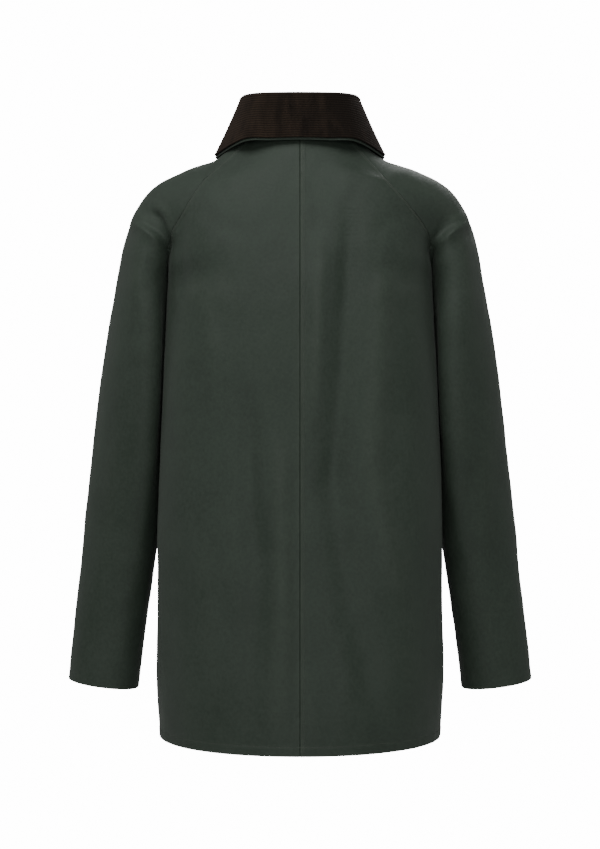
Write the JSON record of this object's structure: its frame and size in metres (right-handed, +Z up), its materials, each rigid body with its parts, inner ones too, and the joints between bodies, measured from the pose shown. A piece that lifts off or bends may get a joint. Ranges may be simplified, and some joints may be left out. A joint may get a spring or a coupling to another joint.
{
  "type": "waxed cotton jacket",
  "caption": "Hip-length waxed cotton jacket with raglan sleeves, a straight seamed back and a turned-down corduroy collar, closed and filled out as worn.",
  "frame": {"origin": "middle of the neck opening, level with the neck seam at centre back, where the wearer's neck and shoulders hold the jacket", "axes": "+Z up, the jacket's back faces -Y, the wearer's left sleeve is at -X"},
  "size_m": [0.586, 0.2973, 0.8031],
  "materials": {
    "waxed_cotton": "dull waxed sheen, dark green",
    "corduroy": "ribbed pile, dark brown",
    "press_stud": "aged brass"
  },
  "bodies": {
    "root": {"back_left": "waxed_cotton", "back_right": "waxed_cotton", "front_left": "waxed_cotton", "front_right": "waxed_cotton", "sleeve_back_left": "waxed_cotton", "sleeve_back_right": "waxed_cotton", "sleeve_front_left": "waxed_cotton", "sleeve_front_right": "waxed_cotton", "collar_top": "corduroy", "collar_under": "waxed_cotton", "stud_1": "press_stud", "stud_2": "press_stud", "stud_3": "press_stud", "stud_4": "press_stud", "stud_5": "press_stud", "stud_6": "press_stud"}
  },
  "joints": []
}
